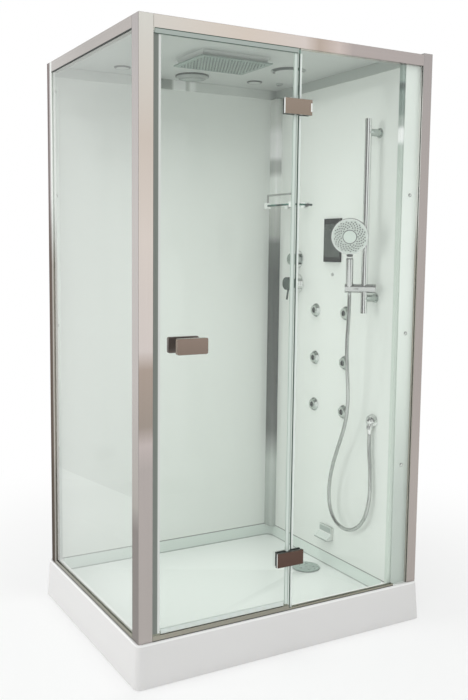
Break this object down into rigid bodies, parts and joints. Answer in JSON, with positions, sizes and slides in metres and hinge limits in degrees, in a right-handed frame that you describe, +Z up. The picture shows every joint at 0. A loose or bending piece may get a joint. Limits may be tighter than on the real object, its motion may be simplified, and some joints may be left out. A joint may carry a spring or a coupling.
{
  "type": "shower cabin",
  "caption": "Corner shower cabin with a low tray, clear glass front and side, pivot door, closed fitted walls, rain head, body jets, hand shower, shelf and steam outlet",
  "frame": {"origin": "on the floor, under the centre of the tray", "axes": "+Z up, door side facing -Y, +X to the right seen from the front"},
  "size_m": [1.2, 0.934, 2.131],
  "materials": {
    "acrylic": "gloss white acrylic, slightly warm",
    "steel_bars": "grey painted square tube",
    "feet": "black plastic",
    "waste_plastic": "pale grey plastic",
    "polished_metal": "polished chrome plate",
    "frame_aluminium": "bright anodised aluminium, faintly warm",
    "corner_aluminium": "polished aluminium",
    "clear_glass": "clear toughened glass with green edges",
    "wall_glass": "white back-painted glass",
    "clear_seal": "translucent soft plastic",
    "grey_seal": "grey magnetic strip",
    "white_panel": "white gloss plastic",
    "top_band": "satin grey aluminium",
    "lamp": "opal white",
    "brass": "raw brass",
    "jet_plastic": "dark grey plastic",
    "panel_black": "dark grey gloss",
    "handset_chrome": "chromed plastic",
    "nozzle_plate": "grey plate with soft nozzles",
    "hose_metal": "smooth silver hose",
    "casing": "white painted sheet",
    "supply_pipe": "white supply pipe"
  },
  "bodies": {
    "cabin": {"shower_tray": "acrylic", "tray_frame": "steel_bars", "tray_feet": "feet", "waste_trap": "waste_plastic", "front_left_post": "frame_aluminium", "rear_left_post": "frame_aluminium", "front_right_post": "frame_aluminium", "wall_profiles": "corner_aluminium", "front_top_rail": "frame_aluminium", "left_top_rail": "frame_aluminium", "wall_top_rails": "top_band", "bottom_channels": "frame_aluminium", "door_sill": "frame_aluminium", "left_glass": "clear_glass", "fixed_glass": "clear_glass", "frame_seals": "grey_seal", "hinge_front_plates": "polished_metal", "hinge_fixed_clamps": "polished_metal", "hinge_pins": "polished_metal", "rear_wall": "wall_glass", "right_wall": "wall_glass", "wall_flanges": "white_panel", "screw_caps": "polished_metal", "roof_panel": "white_panel", "rain_head": "polished_metal", "ceiling_lights": "lamp", "ceiling_speaker": "waste_plastic", "shelf_glass": "clear_glass", "shelf_rail": "polished_metal", "valve_body": "brass", "valve_rosettes": "polished_metal", "jet_rings": "polished_metal", "jet_barrels": "jet_plastic", "control_panel": "panel_black", "riser_rail": "polished_metal", "rail_brackets": "polished_metal", "hose": "hose_metal", "wall_elbow": "polished_metal", "steam_outlet": "handset_chrome", "steam_generator": "casing", "supply_pipes": "supply_pipe"},
    "door": {"door_glass": "clear_glass", "door_seals": "clear_seal", "hinge_door_clamps": "polished_metal", "handle_outer": "polished_metal", "handle_inner": "polished_metal"},
    "drain_cover": {"drain_cover": "polished_metal"},
    "mixer_spindle": {"mixer_stem": "polished_metal"},
    "mixer_handle": {"mixer_lever": "polished_metal"},
    "diverter": {"diverter_knob": "polished_metal"},
    "slider": {"slider": "polished_metal"},
    "holder": {"handset_holder": "polished_metal", "handset": "handset_chrome", "handset_face": "nozzle_plate"},
    "jet_1": {"jet_nozzle_1": "jet_plastic"},
    "jet_2": {"jet_nozzle_2": "jet_plastic"},
    "jet_3": {"jet_nozzle_3": "jet_plastic"},
    "jet_4": {"jet_nozzle_4": "jet_plastic"},
    "jet_5": {"jet_nozzle_5": "jet_plastic"},
    "jet_6": {"jet_nozzle_6": "jet_plastic"}
  },
  "joints": [
    {"name": "door_swing", "type": "hinge", "parent": "cabin", "child": "door", "pos_m": [0, -0.427, 1.1], "axis": [0, 0, -1], "range_deg": [0, 90]},
    {"name": "drain_cover_lift", "type": "slide", "parent": "cabin", "child": "drain_cover", "axis": [0, 0, 1], "range_m": [0, 0.03]},
    {"name": "mixer_turn", "type": "hinge", "parent": "cabin", "child": "mixer_spindle", "pos_m": [0.424, 0.215, 1.272], "axis": [1, 0, 0], "range_deg": [-45, 45]},
    {"name": "mixer_lift", "type": "hinge", "parent": "mixer_spindle", "child": "mixer_handle", "pos_m": [0.424, 0.215, 1.272], "axis": [0, 1, 0], "range_deg": [0, 20]},
    {"name": "diverter_turn", "type": "hinge", "parent": "cabin", "child": "diverter", "pos_m": [0.44, 0.215, 1.376], "axis": [1, 0, 0], "range_deg": [-60, 60]},
    {"name": "slider_slide", "type": "slide", "parent": "cabin", "child": "slider", "axis": [0, 0, 1], "range_m": [-0.005, 0.5], "deforming": ["hose"]},
    {"name": "holder_tilt", "type": "hinge", "parent": "slider", "child": "holder", "pos_m": [0.41, -0.294, 1.273], "axis": [0.7431, -0.6691, 0], "range_deg": [-5, 12]},
    {"name": "jet_1_swivel", "type": "hinge", "parent": "cabin", "child": "jet_1", "pos_m": [0.469, -0.117, 0.765], "axis": [0, 1, 0], "range_deg": [-12, 12]},
    {"name": "jet_2_swivel", "type": "hinge", "parent": "cabin", "child": "jet_2", "pos_m": [0.469, -0.117, 0.965], "axis": [0, 1, 0], "range_deg": [-12, 12]},
    {"name": "jet_3_swivel", "type": "hinge", "parent": "cabin", "child": "jet_3", "pos_m": [0.469, -0.117, 1.165], "axis": [0, 1, 0], "range_deg": [-12, 12]},
    {"name": "jet_4_swivel", "type": "hinge", "parent": "cabin", "child": "jet_4", "pos_m": [0.469, 0.083, 0.765], "axis": [0, 1, 0], "range_deg": [-12, 12]},
    {"name": "jet_5_swivel", "type": "hinge", "parent": "cabin", "child": "jet_5", "pos_m": [0.469, 0.083, 0.965], "axis": [0, 1, 0], "range_deg": [-12, 12]},
    {"name": "jet_6_swivel", "type": "hinge", "parent": "cabin", "child": "jet_6", "pos_m": [0.469, 0.083, 1.165], "axis": [0, 1, 0], "range_deg": [-12, 12]}
  ]
}
